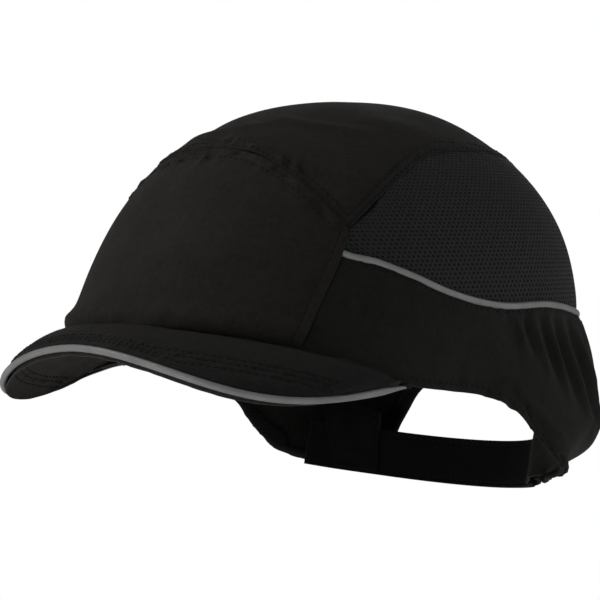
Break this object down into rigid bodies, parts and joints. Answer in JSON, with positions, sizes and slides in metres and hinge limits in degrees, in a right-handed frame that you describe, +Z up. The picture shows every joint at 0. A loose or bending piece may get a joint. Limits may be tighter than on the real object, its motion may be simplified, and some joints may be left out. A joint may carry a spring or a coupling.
{
  "type": "bump cap",
  "caption": "Baseball-style safety bump cap with short peak, mesh side panels, reflective piping, vented inner impact shell, foam pads and hook-and-loop nape strap.",
  "frame": {"origin": "middle of the footprint, on the table that the nape strap stands on", "axes": "+Z up, -Y towards the peak (front), +X towards the wearer's left"},
  "size_m": [0.1948, 0.252, 0.1569],
  "materials": {
    "outer_fabric": "matte fine plain weave, near-black",
    "mesh_fabric": "open spacer mesh, near-black",
    "reflective_piping": "grey retroreflective piping, soft sheen",
    "binding_tape": "ribbed black tape",
    "peak_plastic": "matte",
    "shell_plastic": "moulded, satin",
    "pad_foam": "closed-cell foam, matte",
    "sweatband_cloth": "towelling, matte",
    "strap_webbing": "narrow-weave webbing",
    "loop_pile": "looped pile",
    "hook_pile": "moulded hooks",
    "label_cloth": "plain satin label, blank"
  },
  "bodies": {
    "cap": {"front_panel": "outer_fabric", "crown_panel": "outer_fabric", "mesh_panel_left": "mesh_fabric", "mesh_panel_right": "mesh_fabric", "side_panel_left": "outer_fabric", "side_panel_right": "outer_fabric", "side_piping_left": "reflective_piping", "side_piping_right": "reflective_piping", "rim_tape_left": "binding_tape", "rim_tape_right": "binding_tape", "arch_binding": "binding_tape", "back_seam_tape": "binding_tape", "peak_board": "peak_plastic", "peak_upper_cover": "outer_fabric", "peak_under_cover": "outer_fabric", "peak_piping": "reflective_piping", "sweatband": "sweatband_cloth", "impact_shell": "shell_plastic", "pad_crown": "pad_foam", "pad_front": "pad_foam", "pad_side_left": "pad_foam", "pad_side_right": "pad_foam", "pad_rear": "pad_foam", "care_label": "label_cloth", "loop_strap": "strap_webbing", "loop_patch": "loop_pile"},
    "strap_base": {"strap_base": "strap_webbing"},
    "hook_tab": {"hook_tab": "strap_webbing", "hook_patch": "hook_pile"}
  },
  "joints": [
    {"name": "fit_adjust", "type": "hinge", "parent": "cap", "child": "strap_base", "pos_m": [0, 0.033, 0.011], "axis": [0, 0, 1], "range_deg": [0, 8]},
    {"name": "tab_peel", "type": "hinge", "parent": "strap_base", "child": "hook_tab", "pos_m": [0.0473, 0.10542, 0.011], "axis": [0, 0, -1], "range_deg": [0, 95]}
  ]
}
